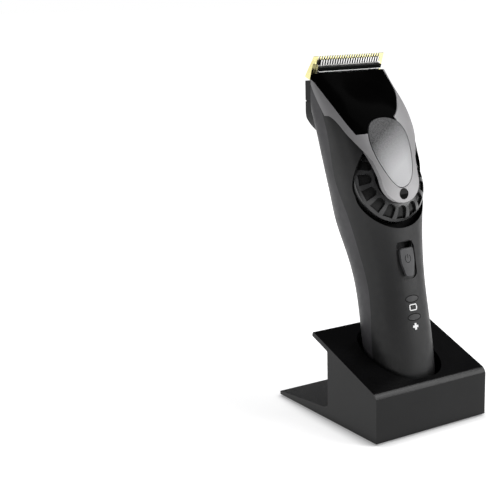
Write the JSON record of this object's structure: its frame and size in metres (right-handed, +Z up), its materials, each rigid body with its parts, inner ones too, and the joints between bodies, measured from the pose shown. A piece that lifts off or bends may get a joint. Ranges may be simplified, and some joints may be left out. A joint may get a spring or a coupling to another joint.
{
  "type": "hair clipper",
  "caption": "Cordless hair clipper with a taper dial, thumb plate, sliding switch and a comb blade that tips off, standing in its wedge-shaped charging stand.",
  "frame": {"origin": "centre of the charging stand's footprint, at table level", "axes": "+Z up, +X to the right of someone facing the thumb plate, +Y to the back, where the blade points and the stand's tongue reaches"},
  "size_m": [0.073, 0.088, 0.1901],
  "materials": {
    "stand_black": "satin black moulded plastic",
    "cup_black": "gloss black",
    "rubber_foot": "matt rubber",
    "rear_grey": "fine-textured dark grey",
    "grip_grey": "soft-touch charcoal",
    "bezel_silver": "satin grey paint",
    "gloss_black": "piano black",
    "thumb_aluminium": "brushed satin",
    "lens_black": "polished black",
    "dial_black": "satin black",
    "button_grey": "matt dark grey",
    "light_lens": "smoked translucent",
    "holder_black": "black moulded",
    "comb_gold": "gold titanium-nitride coating, polished",
    "cutter_steel": "ground steel",
    "steel": "plain",
    "contact_gold": "plated",
    "inner_black": "plain moulded",
    "board_green": "solder mask",
    "battery_sleeve": "shrink sleeve",
    "copper": "enamelled copper winding",
    "magnet_dark": "plated magnet",
    "lamp_white": "lamp body"
  },
  "bodies": {
    "stand": {"stand_shell": "stand_black", "stand_cup": "cup_black", "stand_base_plate": "stand_black", "stand_screws": "steel", "stand_feet": "rubber_foot", "stand_circuit_board": "board_green", "stand_contacts": "contact_gold", "stand_power_inlet": "inner_black", "inlet_pins": "contact_gold"},
    "clipper": {"rear_housing": "rear_grey", "front_housing": "grip_grey", "bottom_cap": "rear_grey", "charging_pads": "contact_gold", "lead_socket": "inner_black", "head_bezel": "bezel_silver", "gloss_panel": "gloss_black", "thumb_plate": "thumb_aluminium", "index_lens": "lens_black", "dial_hub": "inner_black", "dial_washer": "steel", "slide_switch": "inner_black", "battery_light_lens": "light_lens", "charge_light_lens": "light_lens", "indicator_lamps": "lamp_white", "circuit_board": "board_green", "battery_cell": "battery_sleeve", "battery_tabs": "steel", "motor_frame": "inner_black", "stator_core": "steel", "stator_coil": "copper"},
    "dial": {"taper_dial": "dial_black"},
    "slider": {"taper_slider": "inner_black"},
    "mover": {"armature": "steel", "motor_magnets": "magnet_dark", "motor_springs": "steel", "drive_arm": "inner_black"},
    "switch": {"power_button": "button_grey"},
    "blade_block": {"blade_holder": "holder_black", "blade_rail": "steel", "fixed_blade": "comb_gold", "blade_screws": "steel", "blade_spring": "steel", "tilt_pin": "steel"},
    "carriage": {"blade_carriage": "holder_black", "guide_strip": "steel"},
    "cutter": {"moving_blade": "cutter_steel", "drive_fork": "inner_black"}
  },
  "joints": [
    {"name": "lift_from_stand", "type": "slide", "parent": "stand", "child": "clipper", "axis": [0, 0.1994, 0.9799], "range_m": [0, 0.06]},
    {"name": "taper_dial_turn", "type": "hinge", "parent": "clipper", "child": "dial", "pos_m": [0, -0.0089, 0.1263], "axis": [0, -0.9135, 0.4067], "range_deg": [0, 72]},
    {"name": "taper_slider_slide", "type": "slide", "parent": "clipper", "child": "slider", "axis": [0, 0.1994, 0.9799], "range_m": [0, 0.00105]},
    {"name": "motor_stroke", "type": "slide", "parent": "clipper", "child": "mover", "axis": [1, 0, 0], "range_m": [-0.0012, 0.0012], "stiffness_N_per_m": 2000},
    {"name": "power_switch_slide", "type": "slide", "parent": "clipper", "child": "switch", "axis": [0, 0.1994, 0.9799], "range_m": [0, 0.003]},
    {"name": "blade_block_tilt", "type": "hinge", "parent": "clipper", "child": "blade_block", "pos_m": [0, 0.0282, 0.1452], "axis": [-1, 0, 0], "range_deg": [0, 30]},
    {"name": "blade_taper_slide", "type": "slide", "parent": "blade_block", "child": "carriage", "axis": [0, -0.3338, 0.9426], "range_m": [0, 0.00105]},
    {"name": "cutter_stroke", "type": "slide", "parent": "carriage", "child": "cutter", "axis": [1, 0, 0], "range_m": [-0.0013, 0.0013]}
  ],
  "couplings": [
    {"joint": "taper_slider_slide", "follows": "taper_dial_turn", "m_per_rad": 0.00079577},
    {"joint": "blade_taper_slide", "follows": "taper_dial_turn", "m_per_rad": 0.00079577},
    {"joint": "cutter_stroke", "follows": "motor_stroke", "ratio": 1}
  ]
}
